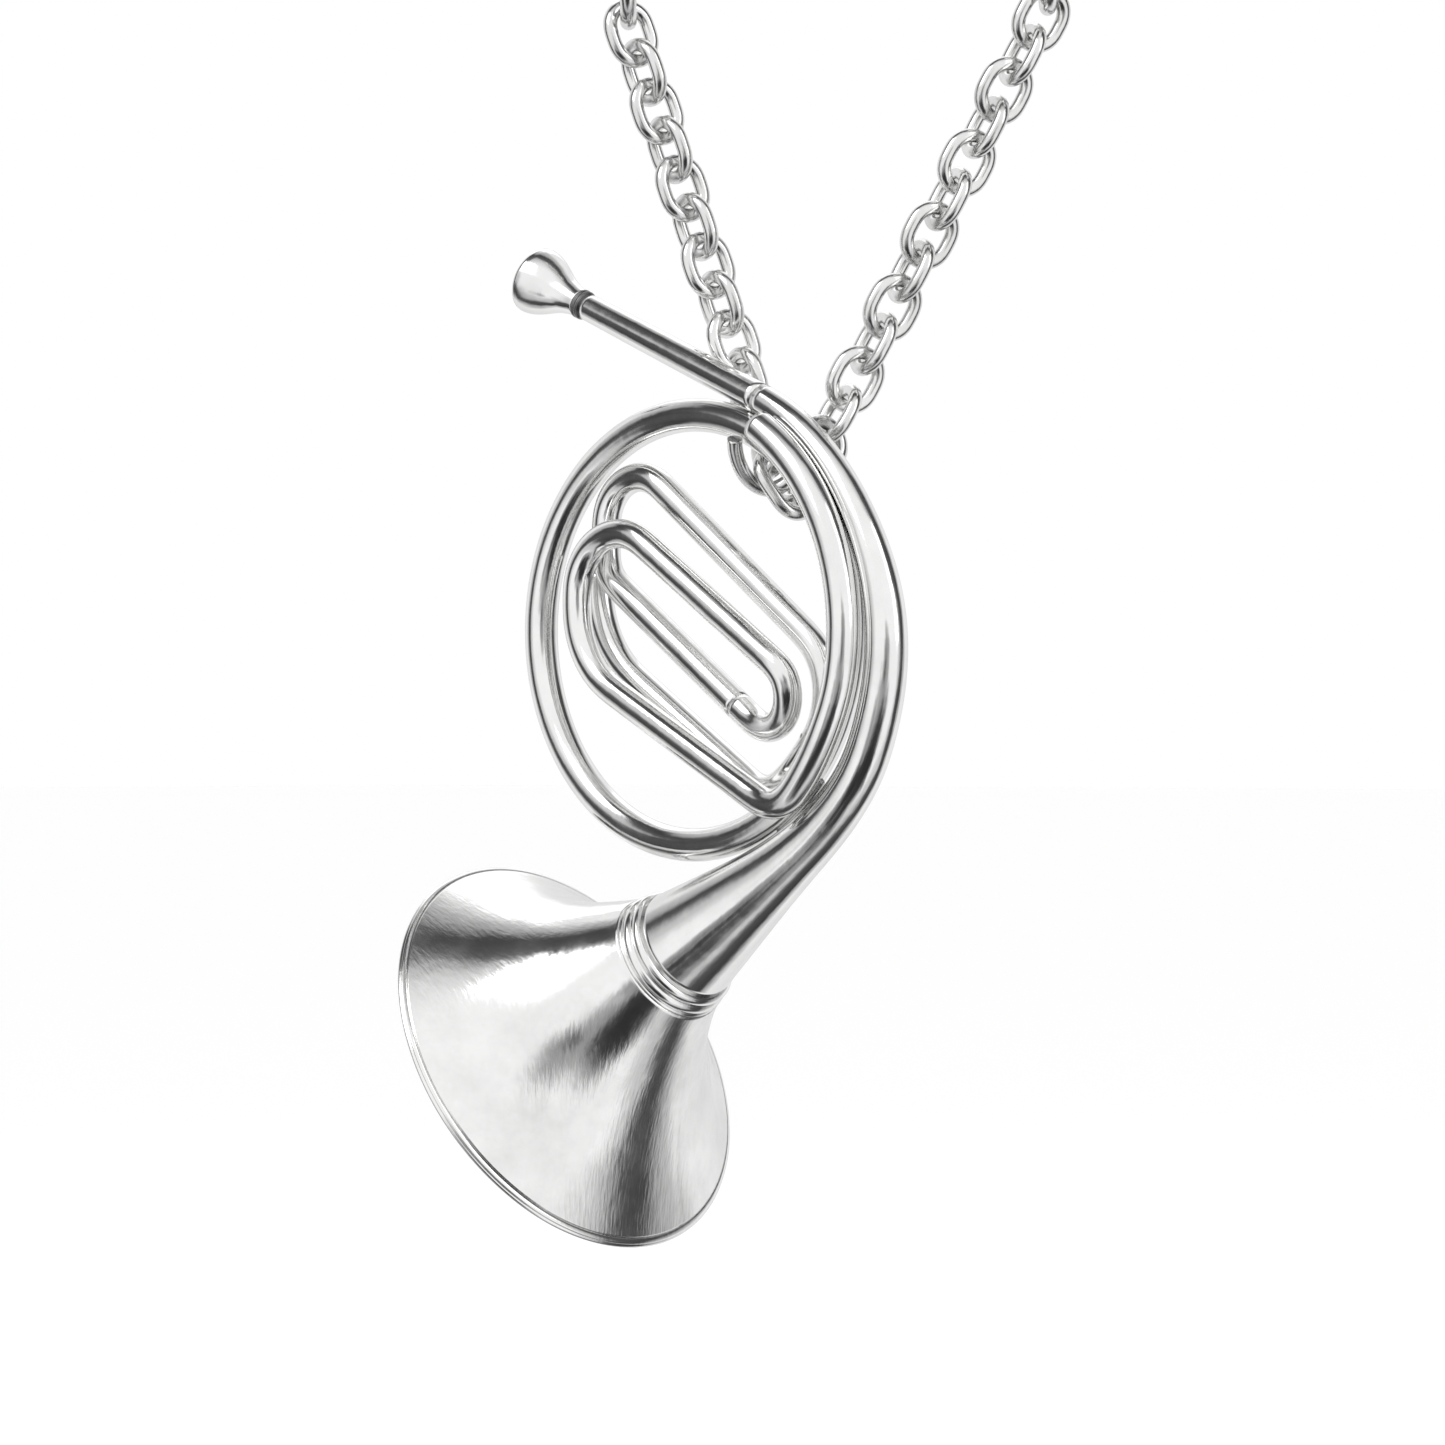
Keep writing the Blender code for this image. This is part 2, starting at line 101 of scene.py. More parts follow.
# ---- materials ----
def silver(name, tint, rough, scratch, stain, blotch=0.0):
    """Polished silver: fine scratches and soft dents as bump, wandering roughness, a grey film in patches.

    blotch adds roughness under the film.
    """
    m = bpy.data.materials.new(name)
    m.use_nodes = True
    nt = m.node_tree
    nd, ln = nt.nodes, nt.links
    b = nd["Principled BSDF"]
    b.inputs["Metallic"].default_value = 1.0
    tc = nd.new("ShaderNodeTexCoord")
    film = nd.new("ShaderNodeTexNoise")
    film.inputs["Scale"].default_value = 260
    film.inputs["Detail"].default_value = 6
    film.inputs["Roughness"].default_value = 0.62
    ln.new(tc.outputs["Object"], film.inputs["Vector"])
    ramp = nd.new("ShaderNodeValToRGB")
    ramp.color_ramp.elements[0].position = 0.30
    ramp.color_ramp.elements[0].color = (*[c * (1 - stain) for c in tint], 1)
    ramp.color_ramp.elements[1].position = 0.62
    ramp.color_ramp.elements[1].color = (*tint, 1)
    ln.new(film.outputs["Fac"], ramp.inputs["Fac"])
    ln.new(ramp.outputs["Color"], b.inputs["Base Color"])
    wander = nd.new("ShaderNodeMapRange")
    wander.inputs["To Min"].default_value = rough + 0.10 + blotch
    wander.inputs["To Max"].default_value = rough
    wander.inputs["From Min"].default_value = 0.32
    wander.inputs["From Max"].default_value = 0.60
    ln.new(film.outputs["Fac"], wander.inputs["Value"])
    ln.new(wander.outputs["Result"], b.inputs["Roughness"])
    mapping = nd.new("ShaderNodeMapping")
    mapping.inputs["Scale"].default_value = (1800, 5200, 900)
    mapping.inputs["Rotation"].default_value = (0.5, 0.9, 0.3)
    ln.new(tc.outputs["Object"], mapping.inputs["Vector"])
    lines = nd.new("ShaderNodeTexNoise")
    lines.inputs["Scale"].default_value = 1
    lines.inputs["Detail"].default_value = 5
    ln.new(mapping.outputs["Vector"], lines.inputs["Vector"])
    dents = nd.new("ShaderNodeTexNoise")
    dents.inputs["Scale"].default_value = 420
    dents.inputs["Detail"].default_value = 2
    ln.new(tc.outputs["Object"], dents.inputs["Vector"])
    fine = nd.new("ShaderNodeBump")
    fine.inputs["Strength"].default_value = scratch
    fine.inputs["Distance"].default_value = 0.00002
    ln.new(lines.outputs["Fac"], fine.inputs["Height"])
    soft = nd.new("ShaderNodeBump")
    soft.inputs["Strength"].default_value = 0.45
    soft.inputs["Distance"].default_value = 0.00006
    ln.new(dents.outputs["Fac"], soft.inputs["Height"])
    ln.new(fine.outputs["Normal"], soft.inputs["Normal"])
    ln.new(soft.outputs["Normal"], b.inputs["Normal"])
    return m


HORN = silver("horn_silver", (0.90, 0.90, 0.895), 0.085, 0.20, 0.10)
BELL = silver("bell_silver", (0.90, 0.90, 0.895), 0.11, 0.55, 0.14, 0.04)
CHAIN = silver("chain_silver", (0.84, 0.84, 0.835), 0.13, 0.30, 0.16)
# deep grey silver: painted shade for the groove where the collar sits between mouthpiece and leadpipe
PAINTED_GROOVE_SHADE = silver("painted_groove_shade_silver", (0.30, 0.30, 0.30), 0.30, 0.4, 0.45)
# darker grey for the solder: painted shade in the grooves and at the crossings of the tubes
SOLDER_PAINTED_SHADE = silver("solder_painted_shade_silver", (0.62, 0.62, 0.615), 0.24, 0.6, 0.35)


# ---- paths, the same routes as the solids ----
def fillet(points, radii, step=4.0):
    """Polyline in XZ with round corners; radii[i] belongs to points[i + 1]."""
    out = [np.array(points[0], float)]
    for i in range(1, len(points) - 1):
        p, a, b = (np.array(q, float) for q in (points[i], points[i - 1], points[i + 1]))
        da, db = unit(a - p), unit(b - p)
        half = math.acos(max(-1, min(1, float(da @ db)))) / 2
        r = radii[i - 1]
        t = r / math.tan(half)
        c = p + unit(da + db) * (r / math.sin(half))
        v0, v1 = p + da * t - c, p + db * t - c
        ang = math.pi - 2 * half
        n = max(3, int(round(math.degrees(ang) / step)))
        for k in range(n + 1):
            s = k / n
            out.append(c + (math.sin((1 - s) * ang) * v0 + math.sin(s * ang) * v1) / math.sin(ang))
    out.append(np.array(points[-1], float))
    return out


def arc(cx, cz, r, a0, a1, n):
    """Points round a circle in XZ, angles in degrees."""
    return [np.array([cx + r * math.cos(math.radians(a0 + (a1 - a0) * k / n)),
                      cz + r * math.sin(math.radians(a0 + (a1 - a0) * k / n))]) for k in range(n + 1)]


def lift(path, stations):
    """XZ polyline to XYZ points; stations are (length along, Y) pairs, joined by smooth steps."""
    p = np.array(path)
    s = np.concatenate([[0], np.cumsum(np.linalg.norm(np.diff(p, axis=0), axis=1))])
    ks, ys = [], []
    for (s0, y0), (s1, y1) in zip(stations[:-1], stations[1:]):
        for x in np.linspace(0, 1, 25):
            ks.append(s0 + (s1 - s0) * x)
            ys.append(y0 + (y1 - y0) * (3 * x * x - 2 * x ** 3))
    return np.stack([p[:, 0], np.interp(s, ks, ys), p[:, 1]], axis=1), s


def even(pts, step, closed=False):
    """Points at an even spacing along a path."""
    pts = np.array(pts)
    if closed:
        pts = np.vstack([pts, pts[:1]])
    s = np.concatenate([[0], np.cumsum(np.linalg.norm(np.diff(pts, axis=0), axis=1))])
    n = max(2, int(round(s[-1] / step)))
    q = np.linspace(0, s[-1], n + 1)
    out = np.stack([np.interp(q, s, pts[:, k]) for k in range(3)], axis=1)
    return out[:-1] if closed else out


def smooth(pts, rounds, closed=False):
    """Evens out the small corners where straights meet bends."""
    p = np.array(pts, float)
    for _ in range(rounds):
        if closed:
            p = 0.5 * p + 0.25 * (np.roll(p, 1, 0) + np.roll(p, -1, 0))
        else:
            p[1:-1] = 0.5 * p[1:-1] + 0.25 * (p[:-2] + p[2:])
    return p


def frames(pts, closed=False):
    """Unit tangent and two side vectors without twist."""
    n, tan = len(pts), []
    for i in range(n):
        a = pts[(i - 1) % n] if closed or i > 0 else pts[i]
        b = pts[(i + 1) % n] if closed or i < n - 1 else pts[i]
        tan.append(unit(b - a))
    ref = np.array([0.0, 1.0, 0.0]) if abs(tan[0][1]) < 0.9 else UP
    side = unit(ref - (ref @ tan[0]) * tan[0])
    out = []
    for t in tan:
        side = unit(side - (side @ t) * t)
        out.append((t, side, np.cross(t, side)))
    return out


# ---- meshes ----
def piece(name, verts, faces, mat, body, nodes=(), origin=LOOP_C):
    """One visual piece on a body; nodes are the solids that it stands for."""
    me = bpy.data.meshes.new(name)
    me.from_pydata([tuple((np.asarray(v, float) + origin) * MM) for v in verts], [], faces)
    me.materials.append(mat)
    me.validate()
    for poly in me.polygons:
        poly.use_smooth = len(poly.vertices) < 5
    ob = bpy.data.objects.new(name, me)
    bpy.context.scene.collection.objects.link(ob)
    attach(ob, body)
    if nodes:
        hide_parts(*nodes)
    return ob


def tube_mesh(pts, radii, sides, closed=False, dome=0.0):
    """Vertices and faces of a round bar. dome rounds both ends over that share of the radius."""
    pts = [np.asarray(p, float) for p in pts]
    radii = list(np.broadcast_to(radii, len(pts)))
    if dome and not closed:
        for end in (0, -1):
            p, q, r = pts[end], pts[1 if end == 0 else -2], radii[end]
            t = unit(p - q)
            cap = [(p - t * r * dome * (1 - math.sin(a)), r * (1 - dome + dome * math.cos(a)))
                   for a in (0.0, 0.35, 0.7, 1.05, 1.35)]
            keep = [k for k in range(len(pts)) if (pts[k] - cap[0][0]) @ t < -0.02]
            if end == 0:
                pts = [c for c, _ in cap[::-1]] + [pts[k] for k in keep]
                radii = [r2 for _, r2 in cap[::-1]] + [radii[k] for k in keep]
            else:
                pts = [pts[k] for k in keep] + [c for c, _ in cap]
                radii = [radii[k] for k in keep] + [r2 for _, r2 in cap]
    n = len(pts)
    fr = frames(pts, closed)
    twist = 0.0
    if closed:
        t0, s0, b0 = fr[0]
        s_end = unit(fr[-1][1] - (fr[-1][1] @ t0) * t0)
        twist = math.atan2(float(s_end @ b0), float(s_end @ s0))
    verts, faces = [], []
    for i in range(n):
        _, s, b = fr[i]
        off = -twist * i / n if closed else 0.0
        for k in range(sides):
            a = 2 * math.pi * k / sides + off
            verts.append(pts[i] + radii[i] * (math.cos(a) * s + math.sin(a) * b))
    for i in range(n if closed else n - 1):
        j = (i + 1) % n
        for k in range(sides):
            m = (k + 1) % sides
            faces.append((i * sides + k, i * sides + m, j * sides + m, j * sides + k))
    if not closed:
        faces.append(tuple(range(sides))[::-1])
        faces.append(tuple((n - 1) * sides + k for k in range(sides)))
    return verts, faces


def tube(name, pts, radii, sides, mat, body, nodes=(), closed=False, dome=0.0,
         origin=LOOP_C):
    """Round bar as a piece."""
    v, f = tube_mesh(pts, radii, sides, closed, dome)
    return piece(name, v, f, mat, body, nodes, origin)


def revolve(name, rings, sides, mat, body, nodes=(), seam=None):
    """Skin of circles given as (centre, normal, radius); radius 0 closes an end in a point.

    seam is (angle, depth, first ring, last ring): a fine line sunk into the outside.
    """
    verts, faces, ids = [], [], []
    for i, (c, nrm, r) in enumerate(rings):
        nrm = unit(nrm)
        a = unit(np.array([0.0, 1.0, 0.0]) - nrm[1] * nrm)
        b = np.cross(nrm, a)
        if r <= 0:
            ids.append([len(verts)])
            verts.append(np.asarray(c, float))
            continue
        row = []
        for k in range(sides):
            t = 2 * math.pi * k / sides
            rr = r
            if seam and seam[2] <= i <= seam[3]:
                gap = (t - seam[0] + math.pi) % (2 * math.pi) - math.pi
                rr = r - seam[1] * math.exp(-(gap * r / 0.085) ** 2)
            row.append(len(verts))
            verts.append(np.asarray(c, float) + rr * (math.cos(t) * a + math.sin(t) * b))
        ids.append(row)
    pairs = list(zip(range(len(ids) - 1), range(1, len(ids))))
    if len(ids[0]) > 1 and len(ids[-1]) > 1:
        pairs.append((len(ids) - 1, 0))
    for i, j in pairs:
        p, q = ids[i], ids[j]
        for k in range(sides):
            m = (k + 1) % sides
            if len(p) == 1:
                faces.append((p[0], q[k], q[m]))
            elif len(q) == 1:
                faces.append((p[m], p[k], q[0]))
            else:
                faces.append((p[m], p[k], q[k], q[m]))
    return piece(name, verts, faces, mat, body, nodes)


def round_profile(points, per=5):
    """Smooth curve through (length, radius) points."""
    c = [np.array(p, float) for p in points]
    c = [2 * c[0] - c[1]] + c + [2 * c[-1] - c[-2]]
    out = []
    for i in range(1, len(c) - 2):
        p0, p1, p2, p3 = c[i - 1:i + 3]
        for k in range(per):
            t = k / per
            out.append(0.5 * (2 * p1 + (p2 - p0) * t + (2 * p0 - 5 * p1 + 4 * p2 - p3) * t * t
                              + (3 * p1 - p0 - 3 * p2 + p3) * t ** 3))
    out.append(c[-2])
    return out


# ---- main loop ----
turns = [2 * math.pi * k / 240 for k in range(240)]
ring_pts = [(LOOP_R * math.cos(a), 0.0, LOOP_R * math.sin(a)) for a in turns]
tube("loop_tube", ring_pts, LOOP_TUBE * 0.998, 32, HORN, "horn", ["main_loop"], closed=True)

# ---- leadpipe, collar and mouthpiece ----
TAN_R = LOOP_R + LOOP_TUBE + TOP_R + 0.03
LP_START = np.array([-9.09, 0.0, 19.62])
start_len = math.hypot(LP_START[0], LP_START[2])
tan_ang = math.atan2(LP_START[2], LP_START[0]) - math.acos(TAN_R / start_len)
TAN_PT = np.array([TAN_R * math.cos(tan_ang), 0.0, TAN_R * math.sin(tan_ang)])
LP_DIR = unit(TAN_PT - LP_START)
pipe = even([LP_START, TAN_PT], 0.5)
pipe_r = np.interp(np.linspace(0, 1, len(pipe)), [0, 0.31, 1], [0.805, 0.855, TOP_R])
tube("leadpipe_tube", pipe, pipe_r, 36, HORN, "horn", ["leadpipe"])


def along(s):
    """Point on the leadpipe's axis, counted back from its end toward the mouthpiece."""
    return LP_START - LP_DIR * s


cup = round_profile([(0.50, 0.83), (1.1, 0.93), (1.7, 1.08), (2.3, 1.31), (2.9, 1.59), (3.5, 1.85), (4.0, 2.01),
                     (4.35, 2.06)], 6)
lip = [(4.47, 2.05), (4.53, 2.00), (4.55, 1.92), (4.55, 1.76), (4.52, 1.66), (4.44, 1.58)]
bowl = round_profile([(4.30, 1.50), (3.95, 1.28), (3.6, 0.96), (3.3, 0.55), (3.1, 0.34), (2.42, 0.30)], 5)
skin = [(0.50, 0.0)] + [tuple(p) for p in cup] + lip + [tuple(p) for p in bowl] + [(2.42, 0.0)]
revolve("mouthpiece_cup", [(along(s), LP_DIR, r) for s, r in skin], 72, HORN, "horn", ["mouthpiece"])
skin = [(0.0, 0.0), (0.0, 0.80), (0.03, 0.86), (0.09, 0.90), (0.16, 0.90), (0.20, 0.84), (0.30, 0.84), (0.34, 0.90),
        (0.42, 0.91), (0.48, 0.87), (0.51, 0.82), (0.51, 0.0)]
# the collar is drawn in the deep grey, painted shade of its groove
revolve("collar_ring", [(along(s), LP_DIR, r) for s, r in skin], 48, PAINTED_GROOVE_SHADE, "horn", ["mouthpiece_collar"])

# ---- bell tail ----
TAIL_DEG = [-56, -48, -40, -31, -22, -12, -2, 8, 18, 28, 38, 48, 58, 68.3]
TAIL_RAD = [15.85, 15.90, 16.05, 16.22, 16.08, 16.03, 15.92, 15.70, 15.38, 15.12, 14.98, 14.93, 14.91, TAN_R]
TAIL_TUBE = [1.70, 1.56, 1.46, 1.39, 1.36, 1.33, 1.30, 1.23, 1.13, 1.05, 0.99, 0.95, 0.94, TOP_R]
tail = []
for deg in np.arange(68, -57, -2.0):
    rad = float(np.interp(deg, TAIL_DEG, TAIL_RAD))
    tail.append((rad * math.cos(math.radians(deg)), float(np.interp(deg, TAIL_DEG, TAIL_TUBE)),
                 rad * math.sin(math.radians(deg))))
end = [(7.05, 1.93, -14.37), (5.4, 2.24, -15.38), (3.59, 2.62, -16.45), (1.5, 3.06, -17.68), (-0.66, 3.53, -18.96)]
tail = np.array(tail + end)
q = even(tail, 0.45)
q = smooth(q, 14)
t_pts = np.stack([q[:, 0], 0 * q[:, 0], q[:, 2]], axis=1)
t_rad = q[:, 1]
BELL_N = unit([-0.884, 0.0, -0.468])
t_dir = [f[0] for f in frames(list(t_pts))]
for k in range(6):
    t_dir[-1 - k] = unit(np.array(t_dir[-1 - k]) * (k / 6) + BELL_N * (1 - k / 6))
rings = [(t_pts[0], t_dir[0], 0.0)] + [(p, d, r) for p, d, r in zip(t_pts, t_dir, t_rad)]
SEAM_ANGLE = math.radians(19.5)
count = len(rings)
inner = [(t_pts[-1 - k], t_dir[-1 - k], t_rad[-1 - k] * (0.80 - 0.02 * k)) for k in range(14)]
rings += inner + [(inner[-1][0], inner[-1][1], 0.0)]


def seam_angle(nrm):
    """Angle of the seam direction in the circles' own axes."""
    a = unit(np.array([0.0, 1.0, 0.0]) - nrm[1] * nrm)
    b = np.cross(nrm, a)
    e = unit(np.array([0.468, 0.0, -0.884]))
    want = e * math.cos(SEAM_ANGLE) + np.array([0.0, 1.0, 0.0]) * math.sin(SEAM_ANGLE)
    return math.atan2(float(want @ b), float(want @ a))


revolve("tail_tube", rings, 96, HORN, "horn", ["bell_tail"],
        seam=(seam_angle(BELL_N), 0.03, 20, count - 1))

# ---- throat ferrule: three turned lines between beads ----
L3, L1 = t_pts[-1], np.array([-1.92, 0.0, -19.68])
span = float((L1 - L3) @ BELL_N)
ferrule = [(0.01, 3.48), (0.04, 3.60), (0.12, 3.74), (0.24, 3.81), (0.38, 3.83), (0.50, 3.79), (0.57, 3.70),
           (0.605, 3.60), (0.64, 3.60), (0.675, 3.72), (0.75, 3.85), (0.88, 3.95), (1.02, 3.99), (1.14, 3.97),
           (1.21, 3.88), (1.245, 3.80), (1.28, 3.80), (1.31, 3.92), (span - 0.06, 4.02), (span - 0.01, 4.03),
           (span - 0.01, 3.42), (0.01, 2.88)]
revolve("ferrule_ring", [(L3 + (L1 - L3) * (s / span), BELL_N, r) for s, r in ferrule], 144, HORN, "horn",
        ["throat_ferrule"])

# ---- bell flare and rolled rim ----
BELL_LEN = 10.74
DROOP = unit([0.468, 0.0, -0.884])


def bell_c(s):
    """Centre of the bell at a length from its throat; it droops a little toward the rim."""
    q = s / BELL_LEN
    return L1 + BELL_N * s + DROOP * (1.2 * (q * q * (1.6 - 0.6 * q)))


flare = [(0.02, 4.06), (1.2, 4.55), (2.6, 5.25), (4.0, 6.05), (5.3, 6.95), (6.5, 7.95), (7.6, 9.0), (8.6, 10.1),
         (9.4, 11.1), (10.0, 11.9), (10.42, 12.49)]
outer = [tuple(p) for p in round_profile(flare, 6)]
inside = []
for i in range(len(outer) - 1, -1, -1):
    a, b = outer[max(0, i - 1)], outer[min(len(outer) - 1, i + 1)]
    t = unit([b[0] - a[0], b[1] - a[1]])
    s, r = outer[i][0] + t[1] * 0.60, outer[i][1] - t[0] * 0.60
    inside.append((max(0.02, min(s, 10.62)), r))
ring_list = [(bell_c(s), BELL_N, r) for s, r in outer + inside]
revolve("bell_shell", ring_list, 224, BELL, "horn", ["bell_flare"],
        seam=(seam_angle(BELL_N), 0.035, 0, len(outer) - 1))
RIM_AT = 10.45                             # where the rolled rim starts along the bell
bead = [(0.0, 12.50), (0.02, 12.60), (0.07, 12.72), (0.13, 12.78), (0.17, 12.79), (0.20, 12.75), (0.23, 12.75),
        (0.26, 12.82), (0.33, 12.86), (0.41, 12.85), (0.48, 12.79), (0.53, 12.68), (0.56, 12.52), (0.555, 12.38),
        (0.52, 12.26), (0.46, 12.15), (0.38, 12.06), (0.28, 12.02)]
revolve("rim_roll", [(bell_c(RIM_AT + s), BELL_N, r) for s, r in bead], 256, HORN, "horn", ["bell_rim_bead"])

# ---- crooks ----
front2 = arc(0, 0, FRONT_R, 60, -38.5, 50)
a2, a2d = np.array([4.91, -10.15]), unit([-9.01, 5.72])
a1, a1d = np.array([9.08, -2.56]), unit([-11.67, 7.95])
b2, b2d = np.array([4.77, -5.24]), unit([-10.43, 7.47])
b1, b1d = np.array([8.26, -0.08]), unit([-11.83, 9.48])
c0, cd = np.array([3.77, -9.18]), unit([-10.01, 6.54])


def at_x(p, d, x):
    """Where a line reaches that X."""
    return tuple(p + d * ((x - p[0]) / d[0]))


X_LEFT, X_HAIR, X_MID, X_REAR = -7.89, 9.0, -7.28, -8.95
bend = arc(8.37, -8.04, 2.4, -43, -122, 20)
split = b2 + b2d * 1.2
run = front2 + bend[:-1] + fillet([tuple(bend[-1]), at_x(a2, a2d, X_LEFT), at_x(a1, a1d, X_LEFT), at_x(a1, a1d, X_HAIR),
                                   at_x(b2, b2d, X_HAIR), tuple(split)], [5.6, 3.54, 1.48, 2.5])
pts, s = lift(run, [(0, FRONT_Y), (17.5, FRONT_Y), (22.5, INNER_Y), (67.5, INNER_Y), (77.5, MID_Y), (200, MID_Y)])
pts = smooth(even(pts, 0.3), 5)
s = np.concatenate([[0], np.cumsum(np.linalg.norm(np.diff(pts, axis=0), axis=1))])
rad = np.interp(s, [0, 24, 31, 300], [FRONT_TUBE, 0.97, WIRE, WIRE])
tube("crook_front_tube", pts, rad, 32, HORN, "horn", ["crook_front"])
right = arc(5.62, -3.73, 4.5, 44, -30, 20)
run = fillet([tuple(split), at_x(b2, b2d, X_MID), at_x(b1, b1d, X_MID), (8.43, -0.22)], [2.1, 2.88]) + right
pts, s = lift(run, [(0, MID_Y), (27.0, MID_Y), (41.0, REAR_Y), (200, REAR_Y)])
tube("crook_middle_tube", smooth(even(pts, 0.3), 4), WIRE, 32, HORN, "horn", ["crook_middle"])
heading = unit([math.sin(math.radians(-30)), -math.cos(math.radians(-30))])
run = [right[-1], right[-1] + heading * 0.35] + arc(0, 0, 11.22, -40, -52, 6) + arc(5.14, -7.20, 2.4, -60, -120, 14)
run += fillet([tuple(run[-1]), at_x(c0, cd, X_REAR), (X_REAR, 3.5)], [6.6])[1:]
pts, s = lift(run, [(0, REAR_Y), (200, REAR_Y)])
tube("crook_rear_tube", smooth(even(pts, 0.3), 5), WIRE, 32, HORN, "horn", ["crook_rear"])


# ---- solder: thin seams in the grooves and small beads at the crossings, their darker grey painted shade ----
def xz(rad, deg, y=0.0):
    """Point at a radius and an angle round the loop."""
    return np.array([rad * math.cos(math.radians(deg)), y, rad * math.sin(math.radians(deg))])


# the tail draws away from the loop as it comes down, so its seam moves out a little too
tail_seam = [xz(13.92 + 0.000072 * (a - 66) ** 2, a) for a in range(66, 24, -2)]
tube("painted_shade_solder_tail", tail_seam, 0.30, 12, SOLDER_PAINTED_SHADE, "horn", dome=0.9)
tube("painted_shade_solder_crook", [xz(13.42, a, -0.90) for a in range(58, -22, -3)], 0.26, 12, SOLDER_PAINTED_SHADE, "horn",
     dome=0.9)
tube("painted_shade_solder_bell", [xz(13.95, a) for a in range(-40, -62, -2)], 0.22, 12, SOLDER_PAINTED_SHADE, "horn",
     dome=0.9)


def bead_at(name, p, r, squeeze=(1, 1, 1)):
    """Small melted bead of solder, in the darker grey that paints shade at a joint."""
    rings, segs, verts, faces = 8, 14, [], []
    for i in range(1, rings):
        for k in range(segs):
            th, ph = math.pi * i / rings, 2 * math.pi * k / segs
            d = np.array([math.sin(th) * math.cos(ph), math.sin(th) * math.sin(ph), math.cos(th)])
            verts.append(np.array(p) + d * r * np.array(squeeze))
    top, low = len(verts), len(verts) + 1
    verts += [np.array(p) + UP * r * squeeze[2], np.array(p) - UP * r * squeeze[2]]
    for i in range(rings - 2):
        for k in range(segs):
            m = (k + 1) % segs
            faces.append((i * segs + k, (i + 1) * segs + k, (i + 1) * segs + m, i * segs + m))
    for k in range(segs):
        m = (k + 1) % segs
        faces.append((top, k, m))
        faces.append((low, (rings - 2) * segs + m, (rings - 2) * segs + k))
    return piece(name, verts, faces, SOLDER_PAINTED_SHADE, "horn")


bead_at("painted_shade_solder_cross_low", (7.5, -0.95, -10.5), 0.34, (1, 0.8, 1))
bead_at("painted_shade_solder_cross_left", (-7.15, -1.02, 5.0), 0.42, (1, 0.55, 1))
bead_at("painted_shade_solder_hairpin", (8.75, 0.45, -6.4), 0.3)

# ---- jump ring, cut across at the front ----
RING = [(4.12, 14.0, 5.85), (3.43, 13.51, 5.41), (2.73, 12.55, 4.91), (2.44, 11.34, 4.31), (2.62, 10.1, 3.58),
        (3.2, 9.04, 2.94), (4.14, 8.42, 2.59), (5.12, 8.52, 2.56), (5.95, 9.21, 2.75), (6.49, 10.31, 3.07),
        (6.65, 11.63, 3.46), (6.47, 12.95, 3.87), (6.01, 14.06, 4.31), (5.35, 14.73, 4.85), (4.72, 14.74, 5.38),
        (4.27, 14.32, 5.88)]
wire = smooth(even(round_profile([cam(*p) for p in RING], 12), 0.15), 6)
tube("jump_ring_wire", wire, RING_WIRE, 28, CHAIN, "jump_ring", ["jump_ring"], dome=0.12)


# ---- chain ----
def axes_of(node):
    """Centre, long axis and width axis of a link, read from its solid."""
    me = frame["nodes"][node].data
    p = np.array([v.co[:] for v in me.vertices]) / MM
    _, _, vt = np.linalg.svd(p - p.mean(0), full_matrices=False)
    q = (p - p.mean(0)) @ vt.T
    c = p.mean(0) + ((q.max(0) + q.min(0)) / 2) @ vt
    return c, vt[0], vt[1]


def link(node, name, body):
    """Closed oval of round wire along a link's own axes."""
    c, a, w = axes_of(node)
    rc = LINK_WIDTH / 2 - LINK_WIRE
    half = (CENTRE_LEN if node == "centre_link" else LINK_LEN) / 2 - LINK_WIRE - rc
    pts = []
    for k in range(72):
        t = 2 * math.pi * (k + 0.5) / 72
        pts.append(c + w * rc * math.cos(t) + a * (rc * math.sin(t) + (half if math.sin(t) > 0 else -half)))
    pts = smooth(even(pts, 0.14, closed=True), 5, closed=True)
    tube(name, pts, LINK_WIRE * 0.995, 22, CHAIN, body, [node], closed=True, origin=np.zeros(3))


bodies = frame["record"]["behaviour"]["bodies"]
for node in sorted(frame["nodes"]):
    if "_link" in node:
        body = next(b for b, members in bodies.items() if node in members)
        link(node, node + "_wire", body)
for node in ("left_end_ring", "right_end_ring"):
    me = frame["nodes"][node].data
    p = np.array([v.co[:] for v in me.vertices]) / MM
    c = p.mean(0)
    _, _, vt = np.linalg.svd(p - c, full_matrices=False)
    turns = [2 * math.pi * k / 96 for k in range(96)]
    pts = [c + END_R * (math.cos(a) * vt[0] + math.sin(a) * vt[1]) for a in turns]
    tube(node + "_wire", pts, END_WIRE * 0.995, 24, CHAIN, "end_rings", [node], closed=True,
         origin=np.zeros(3))

# ---- floor, light and camera ----
lo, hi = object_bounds()
middle = (lo + hi) / 2
floor_mat = bpy.data.materials.new("pale_floor")
floor_mat.use_nodes = True
fb = floor_mat.node_tree.nodes["Principled BSDF"]
fb.inputs["Base Color"].default_value = (0.93, 0.93, 0.93, 1)
fb.inputs["Roughness"].default_value = 0.9
fb.inputs["Emission Color"].default_value = (1, 1, 1, 1)
fb.inputs["Emission Strength"].default_value = 0.08
bpy.ops.mesh.primitive_plane_add(size=12, location=(middle.x, middle.y, lo.z - 0.012))
floor = bpy.context.object
floor.name = "floor"
floor.data.materials.append(floor_mat)
floor.visible_glossy = False


def stage_direction(az, el):
    """Direction from the horn at an azimuth and an elevation in degrees."""
    a, e = math.radians(az), math.radians(el)
    return Vector((math.sin(a) * math.cos(e), -math.cos(a) * math.cos(e), math.sin(e)))


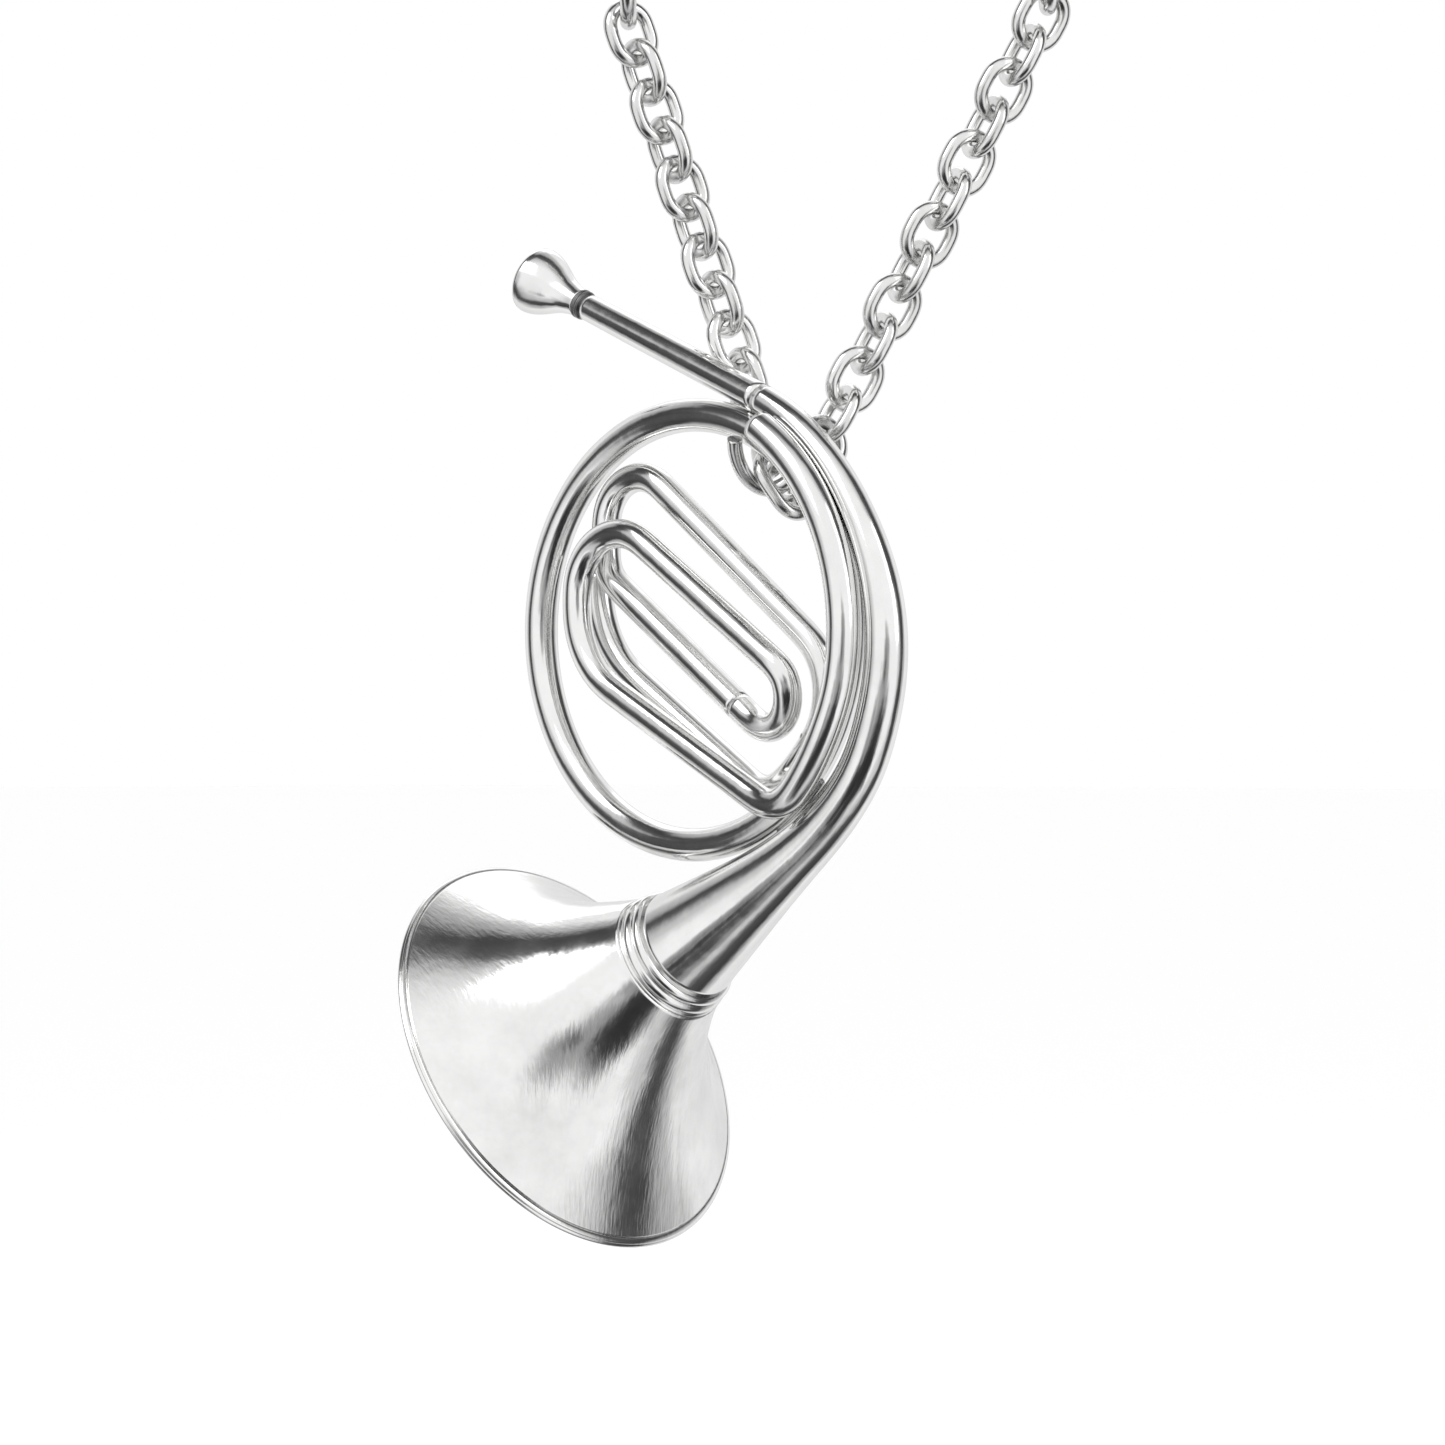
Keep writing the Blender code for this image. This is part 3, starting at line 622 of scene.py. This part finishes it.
def light(name, az, el, distance, width, height, watts):
    """Soft box that faces the horn."""
    data = bpy.data.lights.new(name, "AREA")
    data.shape, data.size, data.size_y, data.energy = "RECTANGLE", width, height, watts
    ob = bpy.data.objects.new(name, data)
    bpy.context.scene.collection.objects.link(ob)
    d = stage_direction(az, el)
    ob.location = middle + d * distance
    ob.rotation_euler = (-d).to_track_quat("-Z", "Y").to_euler()


CAMERA_AZ = 44
world = bpy.data.worlds.new("studio")
bpy.context.scene.world = world
world.use_nodes = True
nt = world.node_tree
nd, ln = nt.nodes, nt.links


def wmath(op, a, b=None):
    """Math node of the world, from sockets or numbers."""
    n = nd.new("ShaderNodeMath")
    n.operation = op
    for k, v in enumerate((a, b)):
        if v is None:
            continue
        if isinstance(v, (int, float)):
            n.inputs[k].default_value = v
        else:
            ln.new(v, n.inputs[k])
    return n.outputs[0]


def toward(v):
    """How far a direction points along v."""
    n = nd.new("ShaderNodeVectorMath")
    n.operation = "DOT_PRODUCT"
    ln.new(coord.outputs["Generated"], n.inputs[0])
    n.inputs[1].default_value = tuple(unit(v))
    return n.outputs["Value"]


def steps(value, stops):
    """Grey shades along a value from -1 to 1."""
    ramp = nd.new("ShaderNodeValToRGB")
    ramp.color_ramp.interpolation = "EASE"
    el = ramp.color_ramp.elements
    while len(el) < len(stops):
        el.new(0.5)
    for e, (x, g) in zip(el, stops):
        e.position = (x + 1) / 2
        e.color = (g, g, g, 1)
    ln.new(wmath("MULTIPLY", wmath("ADD", value, 1.0), 0.5), ramp.inputs["Fac"])
    return ramp.outputs["Color"]


# the metal sees a white tent with a dark opening round the camera and a dark gap between its walls
coord = nd.new("ShaderNodeTexCoord")
cloud = nd.new("ShaderNodeTexNoise")
cloud.inputs["Scale"].default_value = 1.7
cloud.inputs["Detail"].default_value = 3
ln.new(coord.outputs["Generated"], cloud.inputs["Vector"])
ripple = wmath("MULTIPLY", wmath("SUBTRACT", cloud.outputs["Fac"], 0.5), 0.55)
walls = steps(wmath("ADD", toward(FWD), ripple),
              [(-1, 0.80), (-0.55, 0.92), (-0.30, 0.45), (-0.14, 0.05), (0.06, 0.08), (0.24, 0.62), (0.5, 1.0),
               (1, 1.0)])
opening = steps(wmath("ADD", toward(FWD * 0.80 - UP * 0.55 - SIDE * 0.10), ripple),
                [(-1, 1.0), (0.76, 1.0), (0.86, 0.35), (0.93, 0.05), (1, 0.03)])
tent = nd.new("ShaderNodeMix")
tent.data_type, tent.blend_type = "RGBA", "MULTIPLY"
tent.inputs["Factor"].default_value = 1.0
ln.new(walls, tent.inputs[6])
ln.new(opening, tent.inputs[7])
seen = nd.new("ShaderNodeLightPath")
pick = nd.new("ShaderNodeMix")
pick.data_type = "RGBA"
pick.inputs[6].default_value = (1, 1, 1, 1)
ln.new(seen.outputs["Is Glossy Ray"], pick.inputs["Factor"])
ln.new(tent.outputs[2], pick.inputs[7])
ln.new(pick.outputs[2], nd["Background"].inputs["Color"])
nd["Background"].inputs["Strength"].default_value = 1.0
light("key", CAMERA_AZ - 50, 45, 0.35, 0.20, 0.20, 0.22)
light("fill", CAMERA_AZ + 60, 25, 0.40, 0.12, 0.35, 0.14)
light("back", CAMERA_AZ + 180, 40, 0.45, 0.30, 0.30, 0.12)

VIEW_WIDTH = 86.7                          # mm across the picture at the horn
DISTANCE = 800.0                           # mm from the camera to the horn
aim = LOOP_C + cam(1.71, -5.55, 0.0)
data = bpy.data.cameras.new("camera")
data.sensor_width = 36
data.lens = data.sensor_width * DISTANCE / VIEW_WIDTH
data.clip_start, data.clip_end = 0.05, 20
camera = bpy.data.objects.new("camera", data)
bpy.context.scene.collection.objects.link(camera)
camera.location = Vector(tuple((aim + FWD * DISTANCE) * MM))
camera.rotation_euler = (-Vector(tuple(FWD))).to_track_quat("-Z", "Y").to_euler()
bpy.context.scene.camera = camera
bpy.context.scene.view_settings.view_transform = "Standard"
